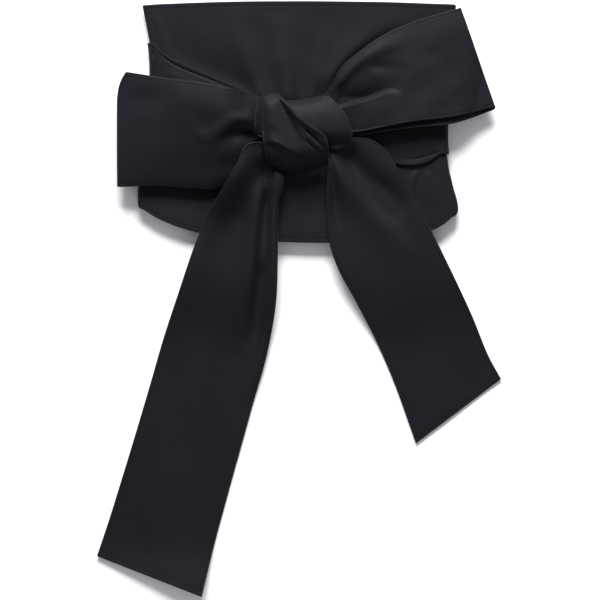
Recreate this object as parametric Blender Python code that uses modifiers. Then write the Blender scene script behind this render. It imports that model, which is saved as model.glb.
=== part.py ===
"""Obi sash, closed and tied in a bow, laid flat on a table and seen from above.

The sash is a wide shaped waist panel with a long tie sewn to each end. The ties cross behind the
panel, come round its sides to the front and are tied in a bow: two loops, two tails and a knot.
The table is z = 0, +Y runs up the panel, and the origin is the middle of the whole outline.
Lengths in the tables are millimetres, and MM turns them into Blender's metres.
"""

import math
from collections import namedtuple

import bmesh
import bpy
import numpy as np

MM = 0.001

# Driving sizes
CLEAR = 0.3  # between neighbouring pieces
TIE_WALL = 1.8  # two plies of satin, turned and pressed
PANEL_WALL = 2.4  # satin, interlining and backing
FOLD_RADIUS = 3.0  # middle of the panel's wall where it turns under at the sides
BACK_END = 60.0  # how far from the centre line each panel end stops behind
BACK_LOW, BACK_HIGH = 129.0, 223.0  # the tie's two edges where it is sewn to a panel end
SKEW = 5.0  # how far the ties slide along the panel's ends as they cross
PANEL_MIDDLE = 8.2  # middle of the panel's wall over the crossed ties
SLUMP = 60.0  # how far in from a side the panel takes to sink to that height

# Heights that follow from the layers
PANEL_BACK = TIE_WALL + CLEAR + PANEL_WALL / 2
TURN = PANEL_BACK + FOLD_RADIUS
PANEL_SIDE = TURN + FOLD_RADIUS
BAND_RADIUS = FOLD_RADIUS + PANEL_WALL / 2 + CLEAR + TIE_WALL / 2
CROSSING = TIE_WALL + CLEAR + PANEL_WALL - CLEAR

# The panel's outline: its two sides up the panel, and its two long edges along it
Side = namedtuple("Side", "y left right")
SIDES = [
    Side(70.0, -143.0, 142.5),
    Side(84.0, -144.8, 143.1),
    Side(100.0, -144.9, 139.0),
    Side(116.0, -142.4, 135.2),
    Side(138.0, -137.7, 132.4),
    Side(170.0, -133.4, 133.0),
    Side(197.0, -132.4, 135.6),
    Side(224.0, -133.6, 138.2),
    Side(240.0, -136.2, 139.6),
    Side(265.0, -141.4, 141.4),
]
Edge = namedtuple("Edge", "x low high")
PANEL_EDGES = [
    Edge(-140.0, 80.5, 263.8),
    Edge(-129.0, 73.0, 264.6),
    Edge(-114.0, 66.2, 265.2),
    Edge(-89.0, 59.0, 266.2),
    Edge(-53.0, 53.8, 267.1),
    Edge(0.0, 50.6, 267.4),
    Edge(53.0, 51.2, 267.0),
    Edge(89.0, 54.6, 266.3),
    Edge(118.0, 61.0, 265.2),
    Edge(130.0, 66.6, 264.8),
    Edge(139.0, 74.0, 264.5),
]
SIDE_LOW, SIDE_HIGH = 86.0, 263.5  # the panel's edges where it turns under

# A tie, loop or tail is a row for each section, with the ends of the section on the table
Section = namedtuple("Section", "where high low puff")
LEFT_BAND = [
    Section("side", (-131.5, 229.8), (-131.5, 128.5), 0),
    Section("by the side", (-119.0, 218.6), (-117.0, 130.0), 0),
    Section("over the panel", (-101.7, 210.4), (-98.0, 131.5), 0),
    Section("middle", (-77.0, 199.3), (-72.0, 134.5), 0),
    Section("neck", (-40.0, 182.8), (-42.0, 143.0), 0),
    Section("under the knot", (-29.5, 178.0), (-29.5, 147.0), 0),
]
RIGHT_BAND = [
    Section("side", (128.0, 228.0), (126.5, 130.0), 0),
    Section("over the panel", (110.0, 222.0), (115.0, 122.6), 0),
    Section("middle", (88.0, 208.0), (91.0, 120.4), 0),
    Section("neck", (60.0, 184.0), (58.0, 132.0), 0),
    Section("under the knot", (37.0, 171.0), (42.5, 149.0), 0),
]
LEFT_LOOP = [
    Section("under the knot", (-29.5, 178.5), (-29.5, 147.5), 3.4),
    Section("neck", (-38.0, 182.3), (-38.0, 139.0), 5.5),
    Section("shoulder", (-53.0, 185.8), (-51.0, 115.0), 9.5),
    Section("swell", (-77.4, 191.3), (-72.0, 99.5), 12.5),
    Section("middle", (-101.7, 195.0), (-98.0, 99.4), 12.0),
    Section("outer", (-131.0, 198.6), (-130.0, 101.4), 9.5),
    Section("end", (-163.8, 203.9), (-163.3, 100.6), 4.4),
]
RIGHT_LOOP = [
    Section("under the knot", (22.5, 181.0), (43.0, 149.0), 3.4),
    Section("neck", (28.5, 190.5), (51.5, 149.2), 5.5),
    Section("shoulder", (37.0, 206.0), (66.0, 151.6), 8.5),
    Section("swell", (52.0, 219.6), (84.0, 155.2), 10.5),
    Section("middle", (76.0, 236.2), (107.0, 159.0), 10.5),
    Section("outer", (106.0, 249.2), (136.0, 162.6), 8.0),
    Section("end", (145.3, 261.0), (176.4, 172.6), 4.4),
]
LEFT_TAIL = [
    Section("under the knot", (-33.0, 140.0), (-19.5, 123.5), 0),
    Section("leaving", (-43.5, 139.0), (-15.0, 114.5), 0),
    Section("first fold", (-55.0, 121.0), (-13.4, 104.0), 0),
    Section("over the hem", (-77.0, 84.0), (-18.0, 86.5), 0),
    Section("off the panel", (-90.0, 56.7), (-18.9, 52.0), 0),
    Section("upper", (-108.9, 3.6), (-21.0, -6.0), 0),
    Section("turn", (-122.4, -36.9), (-29.0, -50.0), 0),
    Section("straight", (-134.1, -77.4), (-41.0, -93.0), 0),
    Section("lower", (-158.4, -158.4), (-65.7, -182.0), 0),
    Section("near the end", (-171.0, -198.9), (-77.0, -224.0), 0),
    Section("end", (-181.8, -231.3), (-87.3, -267.4), 0),
]
RIGHT_TAIL = [
    Section("under the knot", (43.5, 144.5), (27.0, 134.0), 0),
    Section("leaving", (60.0, 144.0), (25.8, 122.0), 0),
    Section("first fold", (76.0, 135.0), (25.0, 104.0), 0),
    Section("over the panel", (89.0, 115.5), (25.2, 80.1), 0),
    Section("over the hem", (110.0, 77.5), (28.0, 47.0), 0),
    Section("off the panel", (124.0, 50.5), (35.5, 26.0), 0),
    Section("upper", (140.0, 18.0), (51.0, -2.5), 0),
    Section("middle", (156.0, -16.0), (69.0, -37.0), 0),
    Section("near the end", (169.5, -49.0), (86.4, -77.4), 0),
    Section("end", (181.8, -72.0), (105.2, -130.0), 0),
]
PEEK = [0.0, 3.0, 3.5, 4.5, 5.5, 6.0, 2.5]  # how far the right loop's under run shows below it
LOOP_TRIM = 8.5  # how far the left loop's upper corner is pulled in
LEFT_RISE, RIGHT_RISE = 2.0, 6.5  # how much higher each tail leaves the knot than what it lies on
RISE_RUN = 75.0  # over what length that sinks
LOOP_CROWN = 0.25  # how much flatter a loop is along its two edges than down its middle
LOW_CROWN = 0.75  # the same along a loop's lower edge
PRESSED_CROWN = 0.78  # the same where its two runs are pressed together

# A crease is a soft ridge along a path, or a trough where its height is negative
Crease = namedtuple("Crease", "where path height left right")
PANEL_CREASES = [
    Crease("knot to upper left", ((-26, 166), (-38, 194), (-50, 230), (-60, 262)), 3.6, 11, 9),
    Crease("dip along the left band", ((-30, 184), (-62, 199), (-98, 214), (-130, 236)), -1.6, 7, 13),
    Crease("knot straight up", ((-7, 166), (-11, 192), (-15, 226), (-20, 258)), 3.8, 10, 9),
    Crease("knot to the upper middle", ((8, 168), (13, 192), (20, 224), (26, 246)), 2.0, 6, 7),
    Crease("knot to upper right", ((18, 180), (27, 198), (39, 214), (56, 230), (79, 245),
                                   (104, 254)), 2.6, 13, 6),
    Crease("dip above the right loop", ((26, 190), (43, 210), (60, 225), (83, 238),
                                        (108, 246)), -1.8, 4, 8),
    Crease("beside the left side", ((-133, 260), (-126, 240), (-118, 222), (-112, 208)), 1.6, 5, 6),
    Crease("under the right band", ((106, 117), (102, 106), (100, 94), (102, 80)), 1.3, 3.5, 3.5),
    Crease("beside it", ((113, 117), (117, 106), (118, 94), (116, 80)), 0.9, 4, 4),
    Crease("between the tails", ((2, 128), (4, 100), (5, 62)), -1.6, 15, 13),
]
LEFT_LOOP_CREASES = [
    Crease("high upper side", ((-44, 184), (-90, 188), (-130, 193), (-160, 197)), 7.0, 42, 30),
    Crease("upper dent", ((-164, 180), (-138, 177), (-108, 178)), -4.0, 11, 15),
    Crease("long soft ridge", ((-40, 170), (-62, 168), (-86, 170), (-112, 176),
                               (-138, 182)), 1.8, 12, 10),
    Crease("pulled ridge", ((-38, 154), (-48, 160), (-58, 159), (-68, 151), (-79, 143),
                            (-90, 142)), 4.4, 5, 7),
    Crease("its outer turn", ((-80, 143), (-90, 146), (-97, 156), (-102, 168)), 1.3, 6, 8),
    Crease("hollow under it", ((-36, 141), (-46, 147), (-60, 148), (-74, 136)), -5.5, 8, 4),
    Crease("long shade", ((-50, 124), (-76, 118), (-104, 120), (-132, 127)), -2.6, 11, 13),
]
RIGHT_LOOP_CREASES = [
    Crease("deep hollow", ((30, 171), (44, 175), (58, 179), (72, 184), (82, 187),
                           (92, 183)), -5.5, 17, 1.0),
    Crease("under the pleat", ((30, 171), (44, 175), (58, 179), (72, 184), (82, 187),
                               (92, 183)), -3.5, 7, 1.0),
    Crease("shoulder ridge", ((28, 182), (40, 198), (52, 210), (70, 221), (98, 232)), 3.6, 6, 5),
    Crease("small dent", ((62, 209), (76, 207), (98, 205)), -1.8, 5, 6),
    Crease("far soft fold", ((116, 226), (130, 207), (146, 192)), -1.2, 9, 9),
]
LEFT_TAIL_CREASES = [
    Crease("raised left edge", ((-38, 140), (-50, 119), (-72, 82), (-85, 54), (-102, 6),
                                (-116, -40)), 4.5, 11, 9),
    Crease("dark hollow", ((-33, 130), (-40, 106), (-50, 84), (-58, 64)), -6.0, 10, 11),
    Crease("middle ridge", ((-33, 102), (-36, 84), (-39, 60), (-42, 34), (-47, 4),
                            (-57, -50)), 6.5, 4.5, 12),
    Crease("dark valley", ((-29, 122), (-29.5, 84), (-30.5, 58), (-33, 26), (-37, -8),
                           (-45, -66)), -7.0, 5, 5),
    Crease("lit facet", ((-22, 126), (-18, 106), (-21, 84), (-24, 62)), 6.5, 8, 7),
    Crease("raised right edge", ((-18, 100), (-22, 84), (-22.5, 50), (-25, -6), (-33, -52),
                                 (-44, -96)), 8.0, 4, 5),
]
RIGHT_TAIL_CREASES = [
    Crease("long ridge", ((24, 134), (34, 115), (46, 97), (63, 79), (86, 56), (110, 28)), 4.0, 7, 12),
    Crease("raised left edge", ((26, 116), (27, 84), (33, 44), (46, 10)), 3.0, 3.5, 5),
    Crease("dark strip", ((31, 120), (32, 92), (37, 60)), -3.0, 4, 4),
    Crease("hollow beside it", ((37, 142), (53, 116), (73, 94), (94, 72)), -8.0, 12, 9),
    Crease("long right ridge", ((74, 130), (92, 100), (112, 62), (134, 18)), 2.0, 8, 9),
]

# The knot: a hidden core of folded layers, the band round the bow's middle and the end tucked over it
CORE_CENTRE, CORE_RADII = (4.0, 158.5, 19.2), (25.0, 14.0, 9.4)
Wrap = namedtuple("Wrap", "where start end z_start z_middle z_end bend")
KNOT_BAND = [
    Wrap("upper rim", (-37.8, 181.8), (24.8, 184.4), 14.0, 13.5, 15.0, 5.5),
    Wrap("upper turn", (-38.0, 179.6), (26.4, 182.4), 18.5, 19.5, 20.0, 5.2),
    Wrap("upper shoulder", (-38.4, 174.8), (31.6, 176.8), 21.0, 26.0, 24.0, 4.0),
    Wrap("crown", (-39.1, 165.0), (39.4, 168.4), 22.0, 29.5, 26.0, 2.0),
    Wrap("middle", (-39.9, 156.0), (45.0, 158.2), 22.0, 31.0, 27.0, 0.6),
    Wrap("lower crown", (-40.5, 149.0), (47.6, 149.3), 21.0, 31.0, 26.5, 0.0),
    Wrap("lower shoulder", (-37.6, 146.2), (47.2, 143.6), 19.5, 28.0, 24.5, 0.0),
    Wrap("lower turn", (-30.5, 143.2), (42.6, 138.2), 17.5, 22.0, 21.0, 0.0),
    Wrap("lower rim", (-24.0, 138.8), (34.2, 133.8), 15.0, 17.0, 17.0, 0.0),
]
KNOT_TUCK = [
    Wrap("upper rim", (-32.6, 183.4), (-18.6, 183.6), 15.0, 15.0, 16.0, 0.0),
    Wrap("upper turn", (-32.7, 181.0), (-16.6, 181.0), 22.0, 26.0, 29.0, 0.0),
    Wrap("shoulder", (-32.8, 174.0), (-10.6, 174.4), 26.5, 34.0, 38.0, 0.0),
    Wrap("crown", (-33.0, 162.0), (-0.4, 162.8), 28.0, 36.0, 40.5, 0.0),
    Wrap("middle", (-32.9, 149.5), (12.4, 152.8), 29.0, 36.0, 41.0, 0.0),
    Wrap("belly", (-31.8, 137.0), (23.2, 145.0), 28.5, 35.5, 39.5, 0.0),
    Wrap("lower crown", (-28.8, 125.5), (26.0, 135.0), 25.0, 33.0, 35.0, 0.0),
    Wrap("lower turn", (-19.0, 117.0), (25.8, 126.4), 19.0, 25.0, 26.0, 0.0),
    Wrap("lower rim", (-7.0, 113.8), (22.0, 120.0), 12.0, 14.0, 15.0, 0.0),
]
KNOT_CREASES = [
    Crease("under the fold", ((-20, 181), (-14.5, 172), (-9, 160), (-3.5, 149), (3, 140),
                              (10, 132)), -3.4, 3.2, 7),
    Crease("lower roll", ((-33, 144), (-20, 139.5), (-6, 132), (5, 126.5), (16, 122.5)), 2.4, 7, 4),
]

SATIN = (0.018, 0.018, 0.023, 1.0)


def through(places, values, at):
    """A smooth curve through the values at those places, read at other places."""
    places, values, at = (np.asarray(a, float) for a in (places, values, at))
    slope = np.gradient(values, places, axis=0)
    i = np.clip(np.searchsorted(places, at, side="right") - 1, 0, len(places) - 2)
    width = places[i + 1] - places[i]
    t = (at - places[i]) / width
    shape = (-1,) + (1,) * (values.ndim - 1)
    t, width = t.reshape(shape), width.reshape(shape)
    a, b = values[i], values[i + 1]
    return (
        a * (2 * t**3 - 3 * t**2 + 1)
        + b * (3 * t**2 - 2 * t**3)
        + slope[i] * width * (t**3 - 2 * t**2 + t)
        + slope[i + 1] * width * (t**3 - t**2)
    )


def eased(t):
    """0 below 0, 1 above 1, and a smooth step between."""
    t = np.clip(t, 0, 1)
    return t * t * (3 - 2 * t)


def column(rows, name):
    return np.array([getattr(row, name) for row in rows], float)


def side_x(name, y):
    """The outer face of the panel's left or right side at a height up the panel."""
    ys = column(SIDES, "y")
    return through(ys, column(SIDES, name), np.clip(y, ys[0], ys[-1]).ravel()).reshape(np.shape(y))


def turn_x(name, y):
    """The line that the panel and the bands turn round at that side."""
    inward = 1 if name == "left" else -1
    return side_x(name, y) + inward * (PANEL_WALL / 2 + FOLD_RADIUS)


def crease_height(x, y, creases):
    """What the creases add at each point: full along their paths, fading sideways and at their ends."""
    total = np.zeros(np.shape(x))
    for crease in creases:
        path = np.array(crease.path, float)
        steps = np.linalg.norm(np.diff(path, axis=0), axis=1)
        along = np.concatenate([[0], np.cumsum(steps)])
        fine = np.linspace(0, along[-1], 60)
        line = through(along, path, fine)
        ahead = np.gradient(line, axis=0)
        away = np.stack([x[..., None] - line[:, 0], y[..., None] - line[:, 1]], axis=-1)
        distance = np.linalg.norm(away, axis=-1)
        nearest = distance.argmin(axis=-1)
        near = np.take_along_axis(distance, nearest[..., None], -1)[..., 0]
        picked = np.take_along_axis(away, nearest[..., None, None], -2)[..., 0, :]
        turn = ahead[nearest][..., 0] * picked[..., 1] - ahead[nearest][..., 1] * picked[..., 0]
        share = fine[nearest] / along[-1]
        width = np.where(turn > 0, crease.left, crease.right) * (0.7 + 0.6 * share)
        fade = eased(5 * share) * (1 - share**2)
        total += crease.height * np.exp(-((near / width) ** 2)) * fade
    return total


class Laid:
    """Heights of the cloth that already lies on the table, on a square grid."""

    STEP = 1.0
    LOW, HIGH = np.array([-205.0, -290.0]), np.array([205.0, 290.0])

    def __init__(self):
        self.size = np.ceil((self.HIGH - self.LOW) / self.STEP).astype(int) + 1
        self.top = np.zeros(self.size)

    def add(self, middle, wall):
        """Notes a sheet, given the middle of its wall as rows of points."""
        spans = [np.linalg.norm(np.diff(middle, axis=k), axis=-1).max() for k in (0, 1)]
        for axis, span in enumerate(spans):
            count = int((middle.shape[axis] - 1) * math.ceil(span / (0.6 * self.STEP))) + 1
            at = np.linspace(0, middle.shape[axis] - 1, count)
            i = np.minimum(at.astype(int), middle.shape[axis] - 2)
            t = (at - i).reshape([-1 if k == axis else 1 for k in range(3)])
            middle = middle.take(i, axis) * (1 - t) + middle.take(i + 1, axis) * t
        cell = np.rint((middle[..., :2] - self.LOW) / self.STEP).astype(int).reshape(-1, 2)
        np.maximum.at(self.top, (cell[:, 0], cell[:, 1]), middle[..., 2].ravel() + wall / 2)

    def under(self, x, y, reach):
        """The height that cloth laid over it takes at those points, bridging over that reach."""
        cells = int(round(reach / self.STEP))
        spread = self.top
        for axis in (0, 1):
            spread = np.max([np.roll(spread, k, axis) for k in range(-cells - 2, cells + 3)], axis=0)
        for axis in (0, 1):
            for width in (cells // 2, cells - cells // 2):
                rolled = [np.roll(spread, k, axis) for k in range(-width, width + 1)]
                spread = np.mean(rolled, axis=0)
        place = (np.stack([x, y], axis=-1) - self.LOW) / self.STEP
        i = np.clip(place.astype(int), 0, self.size - 2)
        t = place - i
        a, b, s, r = i[..., 0], i[..., 1], t[..., 0], t[..., 1]
        low = spread[a, b] * (1 - s) + spread[a + 1, b] * s
        high = spread[a, b + 1] * (1 - s) + spread[a + 1, b + 1] * s
        return low * (1 - r) + high * r


def satin(name):
    """Black satin with a low soft sheen."""
    material = bpy.data.materials.new(name)
    material.use_nodes = True
    shader = material.node_tree.nodes["Principled BSDF"]
    shader.inputs["Base Color"].default_value = SATIN
    shader.inputs["Roughness"].default_value = 0.42
    shader.inputs["Metallic"].default_value = 0.0
    shader.inputs["Sheen Weight"].default_value = 0.3
    return material


def clothe(name, middle, wall):
    """A sheet of cloth as an object: rows of points down the middle of its wall, thickened both ways."""
    rows, columns = middle.shape[:2]
    mesh = bpy.data.meshes.new(name)
    shape = bmesh.new()
    bmesh.ops.create_grid(shape, x_segments=columns - 1, y_segments=rows - 1, size=1)
    order = sorted(shape.verts, key=lambda v: (round(v.co.y, 5), round(v.co.x, 5)))
    for vertex, point in zip(order, middle.reshape(-1, 3)):
        vertex.co = point * MM
    shape.to_mesh(mesh)
    shape.free()
    mesh.shade_smooth()
    piece = bpy.data.objects.new(name, mesh)
    collection.objects.link(piece)
    thicken = piece.modifiers.new("wall", "SOLIDIFY")
    thicken.thickness = wall * MM
    thicken.offset = 0
    mesh.materials.append(satin(name))
    return piece


def spread_rows(rows, count, crowd=1.0):
    """The sections' two ends at even places along them; crowd over 1 sets them closer at the start."""
    high, low = column(rows, "high"), column(rows, "low")
    steps = np.linalg.norm(np.diff((high + low) / 2, axis=0), axis=1)
    along = np.concatenate([[0], np.cumsum(steps)])
    at = along[-1] * np.linspace(0, 1, count) ** crowd
    return through(along, high, at), through(along, low, at), along, at


def crossed(ends_a, ends_b, count):
    """Points across each section, from its b end to its a end."""
    t = np.linspace(0, 1, count).reshape(1, -1, 1)
    return ends_b[:, None, :] * (1 - t) + ends_a[:, None, :] * t


def panel_height(x, y):
    """The middle of the front panel's wall: high at the folded sides, sunk and creased between them."""
    inside = np.minimum(x - turn_x("left", y), turn_x("right", y) - x)
    sunk = eased(inside / SLUMP)
    flat = PANEL_SIDE + (PANEL_MIDDLE - PANEL_SIDE) * sunk
    return flat + crease_height(x, y, PANEL_CREASES) * eased(inside / 16)


def panel_rows(front=32, turn=5, back=4, across=15):
    """The panel round from its left end behind, over the front, to its right end behind."""
    t = np.linspace(0, 1, across)
    xs = column(PANEL_EDGES, "x")
    rows = []

    def behind(name, share):
        """A section behind the panel: share 0 is at the side, 1 at the end sewn to the tie."""
        outward = -1 if name == "left" else 1
        y = (SIDE_LOW + (BACK_LOW - SIDE_LOW) * share) * (1 - t)
        y = y + (SIDE_HIGH + (BACK_HIGH - SIDE_HIGH) * share) * t
        x = turn_x(name, y) * (1 - share) + outward * BACK_END * share
        return np.stack([x, y, np.full_like(x, PANEL_BACK)], axis=-1)

    def turning(name, angle):
        """A section on the side's fold: angle 0 is below, pi above."""
        outward = -1 if name == "left" else 1
        share = eased(angle / math.pi)
        edge = PANEL_EDGES[0 if name == "left" else -1]
        y = (SIDE_LOW + (edge.low - SIDE_LOW) * share) * (1 - t)
        y = y + (SIDE_HIGH + (edge.high - SIDE_HIGH) * share) * t
        x = turn_x(name, y) + outward * FOLD_RADIUS * math.sin(angle)
        return np.stack([x, y, np.full_like(x, TURN - FOLD_RADIUS * math.cos(angle))], axis=-1)

    rows += [behind("left", share) for share in np.linspace(1, 0, back)]
    rows += [turning("left", math.pi * k / (turn + 1)) for k in range(1, turn + 1)]
    for share in np.linspace(0, 1, front):
        nominal = xs[0] + (xs[-1] - xs[0]) * share
        low = through(xs, column(PANEL_EDGES, "low"), [nominal])
        high = through(xs, column(PANEL_EDGES, "high"), [nominal])
        y = low * (1 - t) + high * t
        x = turn_x("left", y) * (1 - share) + turn_x("right", y) * share
        rows.append(np.stack([x, y, panel_height(x, y)], axis=-1))
    rows += [turning("right", math.pi * k / (turn + 1)) for k in range(turn, 0, -1)]
    rows += [behind("right", share) for share in np.linspace(0, 1, back)]
    return np.array(rows)


def band_rows(laid, name, sections, turn=5, back=4, front=14, across=10):
    """A tie from its crossing behind the panel, round the side and over the front to the knot."""
    outward = -1 if name == "left" else 1
    t = np.linspace(0, 1, across)
    high, low = sections[0].high[1], sections[0].low[1]
    rows = []
    for share in np.linspace(0, 1, back):
        y = (BACK_LOW * (1 - share) + low * share) * (1 - t)
        y = y + (BACK_HIGH * (1 - share) + high * share) * t
        x = outward * (BACK_END - CLEAR) * (1 - share) + turn_x(name, y) * share
        rows.append(np.stack([x, y, np.full_like(x, TIE_WALL / 2)], axis=-1))
    for k in range(1, turn + 1):
        angle = math.pi * k / (turn + 1)
        y = low * (1 - t) + high * t
        x = turn_x(name, y) + outward * BAND_RADIUS * math.sin(angle)
        rows.append(np.stack([x, y, np.full_like(x, TURN - BAND_RADIUS * math.cos(angle))], axis=-1))
    ends_high, ends_low, _, _ = spread_rows(sections, front)
    flat = crossed(ends_high, ends_low, across)
    x, y = flat[..., 0], flat[..., 1]
    at_side = turn_x(name, y[0])
    x[0] = at_side
    z = laid.under(x, y, 4.5) + CLEAR + TIE_WALL / 2
    z[0] = TURN + BAND_RADIUS
    z = np.maximum(z, TURN + BAND_RADIUS - 9.0 * eased(np.abs(x - at_side) / 60))
    rows += list(np.stack([x, y, z], axis=-1))
    return np.array(rows)


def loop_rows(laid, sections, creases, overhang, trim=0.0, peek=None, pressed=False, upper=25, lower=13,
              turn=5, across=15):
    """A bow loop: out from the knot along its under run, round its end and back over the top.

    A pressed loop keeps its height along its lower edge, where its two runs lie close together.
    """
    t = np.linspace(0, 1, across)
    high, low, along, at = spread_rows(sections, upper)
    ahead = np.gradient((high + low) / 2, axis=0)[-1]
    ahead /= np.linalg.norm(ahead)
    end_gap = sections[-1].puff
    pull = end_gap / 2 + TIE_WALL / 2 + trim * (np.clip(t - 0.68, 0, 1) / 0.32) ** 3
    share = (at / along[-1]) ** 3

    top = crossed(high, low, across)
    top = top - ahead * pull[None, :, None] * share[:, None, None]
    reach = np.linspace(0, upper - 1, lower).round().astype(int)
    shown = np.zeros(len(sections)) if peek is None else np.array(peek)
    drop = through(along, shown, at)[:, None, None] * (1 - t).reshape(1, -1, 1) ** 2
    side = np.array([ahead[1], -ahead[0]])
    bottom = (top + side * drop)[reach]

    under = laid.under(bottom[..., 0], bottom[..., 1], 22.0) + CLEAR + TIE_WALL / 2
    held = overhang[0] + (overhang[1] - overhang[0]) * share[reach][:, None]
    z_bottom = np.maximum(under, held)
    gap = through(along, column(sections, "puff"), at)[:, None]
    low_crown = PRESSED_CROWN if pressed else LOW_CROWN
    crown = 1 - np.where(t < 0.5, low_crown, LOOP_CROWN) * np.abs(2 * t - 1) ** 2.4
    crown = 1 + (crown - 1) * (1 - 0.5 * share[:, None])
    if pressed:
        raising = gap * (1 - crown) * (t < 0.5)
        z_bottom = z_bottom + raising[reach]
    floor = np.array([np.interp(range(upper), reach, z_bottom[:, k]) for k in range(across)]).T
    fade = eased(1.6 * (1 - share))[:, None]
    raised = gap * crown + crease_height(top[..., 0], top[..., 1], creases) * fade
    z_top = floor + np.maximum(raised, TIE_WALL + 1.0)

    rows = list(np.concatenate([bottom, z_bottom[..., None]], axis=-1))
    middle, radius = (z_top[-1] + z_bottom[-1]) / 2, (z_top[-1] - z_bottom[-1]) / 2
    for k in range(1, turn + 1):
        angle = math.pi * k / (turn + 1)
        flat = bottom[-1] + (top[-1] - bottom[-1]) * k / (turn + 1)
        out = flat + ahead * (end_gap / 2 * math.sin(angle))
        rows.append(np.concatenate([out, (middle - radius * math.cos(angle))[:, None]], axis=-1))
    rows += list(np.concatenate([top, z_top[..., None]], axis=-1)[::-1])
    return np.array(rows)


def tail_rows(laid, hem, sections, creases, rise, along, across):
    """A tail of the bow, draped from the knot over the panel and its hem and down on to the table."""
    high, low, _, at = spread_rows(sections, along, crowd=1.15)
    flat = crossed(high, low, across)
    x, y = flat[..., 0], flat[..., 1]
    lower_down = eased((112 - y) / 68)
    away = np.hypot(x - x[0].mean(), y - y[0].mean())
    far = eased(away / 32 - 0.3)
    over = laid.under(x, y, 8.0) * (1 - far) + laid.under(x, y, 22.0) * far
    z = over * (1 - lower_down) + hem.under(x, y, 58.0) * lower_down + TIE_WALL / 2
    z += np.where(z > TIE_WALL, CLEAR, 0) * eased((z - TIE_WALL) / 2)
    z += rise * (1 - eased(away / RISE_RUN))
    below = laid.under(x, y, 6.0) * (1 - lower_down) + hem.under(x, y, 24.0) * lower_down
    guard = below + np.where(below > 0, CLEAR, 0) + TIE_WALL / 2
    creased = z + crease_height(x, y, creases) * eased(at / 14)[:, None]
    z = np.maximum(creased, np.minimum(guard, z))
    return np.concatenate([flat, z[..., None]], axis=-1)


def wrap_rows(laid, wraps, creases, along, across, bow, roll=0.0):
    """Cloth drawn over the knot: sections that arch between their two ends, kept clear of what they cover.

    roll is how far the cloth rolls down at both ends of a section, as it does over a fold.
    """
    places = np.arange(len(wraps))
    at = np.linspace(0, places[-1], along)
    t = np.linspace(0, 1, across)
    t = t - 0.08 * np.sin(2 * math.pi * t)
    start = through(places, column(wraps, "start"), at)
    end = through(places, column(wraps, "end"), at)
    flat = start[:, None, :] * (1 - t).reshape(1, -1, 1) + end[:, None, :] * t.reshape(1, -1, 1)
    flat[..., 1] -= through(places, column(wraps, "bend"), at)[:, None] * 4 * t * (1 - t)
    middle = through(places, column(wraps, "z_middle"), at)[:, None]
    z_start = through(places, column(wraps, "z_start"), at)[:, None]
    z_end = through(places, column(wraps, "z_end"), at)[:, None]
    arch = np.clip(1 - np.abs(2 * t - 1) ** bow, 0, 1)
    z = (z_start * (1 - t) + z_end * t) * (1 - arch) + middle * arch
    inside = eased(at / 2) * eased((places[-1] - at) / 2)
    z += crease_height(flat[..., 0], flat[..., 1], creases) * inside[:, None]
    wide = np.linalg.norm(end - start, axis=-1)[:, None]
    if roll:
        from_edge = np.clip(wide * np.minimum(t, 1 - t) / roll, 0, 1)
        z -= roll * (1 - np.sqrt(1 - (1 - from_edge) ** 2)) * inside[:, None]
    guard = laid.under(flat[..., 0], flat[..., 1], 1.0) + CLEAR + TIE_WALL / 2
    z = guard + 0.5 * np.logaddexp(0, 2 * (z - guard))
    return np.concatenate([flat, z[..., None]], axis=-1)


def crossing_behind():
    """The hidden ties crossed behind the panel: one flat body with a layer line along its edges."""
    half = BACK_END - 2 * CLEAR
    layers = [
        (0.0, 1.0), (0.5, 1.6), (TIE_WALL - 0.4, 1.6), (TIE_WALL, 0.6),
        (TIE_WALL + CLEAR, 0.6), (TIE_WALL + CLEAR + 0.4, 1.6), (CROSSING - 0.5, 1.6), (CROSSING, 0.9),
    ]
    xs = np.linspace(-half, half, 13)
    skew = SKEW * np.sin(math.pi * xs / (2 * half))
    shape = bmesh.new()
    ring = [(BACK_LOW + 1 - out, z) for z, out in layers]
    ring += [(BACK_HIGH - 1 + out, z) for z, out in reversed(layers)]
    ring = [shape.verts.new((xs[0] * MM, (y + skew[0]) * MM, z * MM)) for y, z in ring]
    edges = [shape.edges.new(pair) for pair in zip(ring, ring[1:] + ring[:1])]
    for step, slide in zip(np.diff(xs), np.diff(skew)):
        grown = bmesh.ops.extrude_edge_only(shape, edges=edges)["geom"]
        edges = [part for part in grown if isinstance(part, bmesh.types.BMEdge)]
        moved = [part for part in grown if isinstance(part, bmesh.types.BMVert)]
        bmesh.ops.translate(shape, verts=moved, vec=(step * MM, slide * MM, 0))
    bmesh.ops.holes_fill(shape, edges=shape.edges[:], sides=0)
    bmesh.ops.recalc_face_normals(shape, faces=shape.faces)
    mesh = bpy.data.meshes.new("ties_crossed_behind")
    shape.to_mesh(mesh)
    shape.free()
    mesh.materials.append(satin("ties_crossed_behind"))
    piece = bpy.data.objects.new("ties_crossed_behind", mesh)
    collection.objects.link(piece)
    return piece


def knot_core():
    """The layers hidden inside the knot, as one rounded body."""
    bpy.ops.mesh.primitive_uv_sphere_add(segments=24, ring_count=12, radius=1)
    core = bpy.context.object
    core.name = core.data.name = "knot_core"
    core.data.transform(core.matrix_world)
    for vertex in core.data.vertices:
        vertex.co = [(c + v * r) * MM for c, v, r in zip(CORE_CENTRE, vertex.co, CORE_RADII)]
    core.data.shade_smooth()
    core.data.materials.append(satin("knot_core"))
    for owner in list(core.users_collection):
        owner.objects.unlink(core)
    collection.objects.link(core)
    return core


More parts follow.
